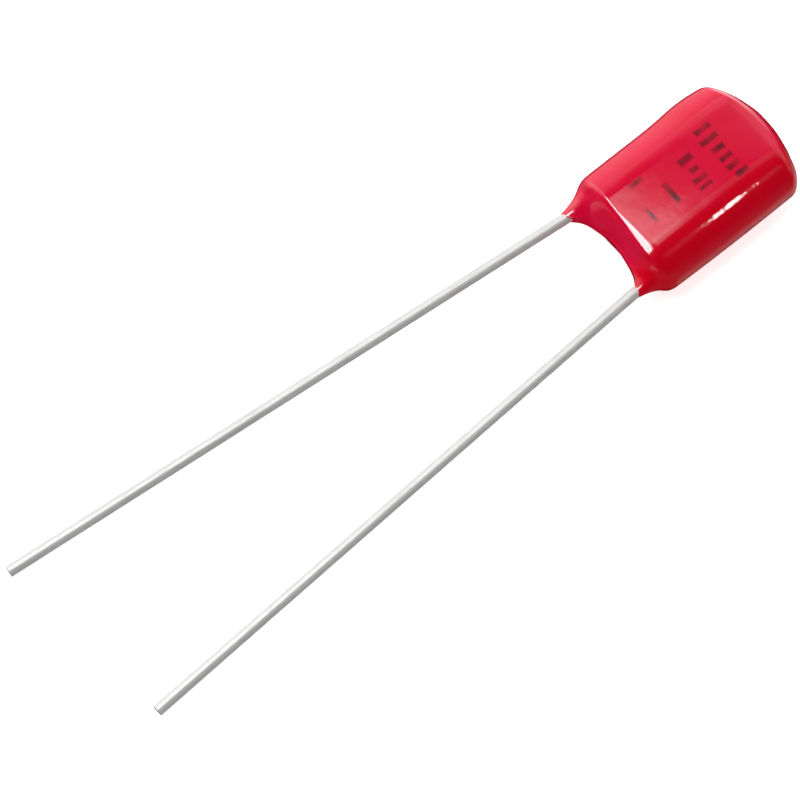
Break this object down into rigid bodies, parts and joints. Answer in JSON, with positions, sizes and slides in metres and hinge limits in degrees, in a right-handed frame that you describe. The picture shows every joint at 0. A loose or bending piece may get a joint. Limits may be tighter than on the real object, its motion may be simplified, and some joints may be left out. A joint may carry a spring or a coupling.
{
  "type": "dipped film capacitor",
  "caption": "Dipped radial film capacitor: a flat, rounded resin-coated body on straight, bare wire leads.",
  "frame": {"origin": "middle of the flat back face that the part lies on", "axes": "+X to the right across the body, +Y up the body and away from the leads, +Z out of the front face"},
  "size_m": [0.009, 0.0365, 0.0034],
  "materials": {
    "dipped_resin": "glossy dipped epoxy, deep red",
    "film": "clear polyester film",
    "foil": "bright foil",
    "tinned_wire": "tinned copper-clad steel wire, satin"
  },
  "bodies": {
    "root": {"epoxy_coat": "dipped_resin", "film_inner": "film", "film_outer": "film", "foil_left": "foil", "foil_right": "foil", "lead_left": "tinned_wire", "lead_right": "tinned_wire"}
  },
  "joints": []
}
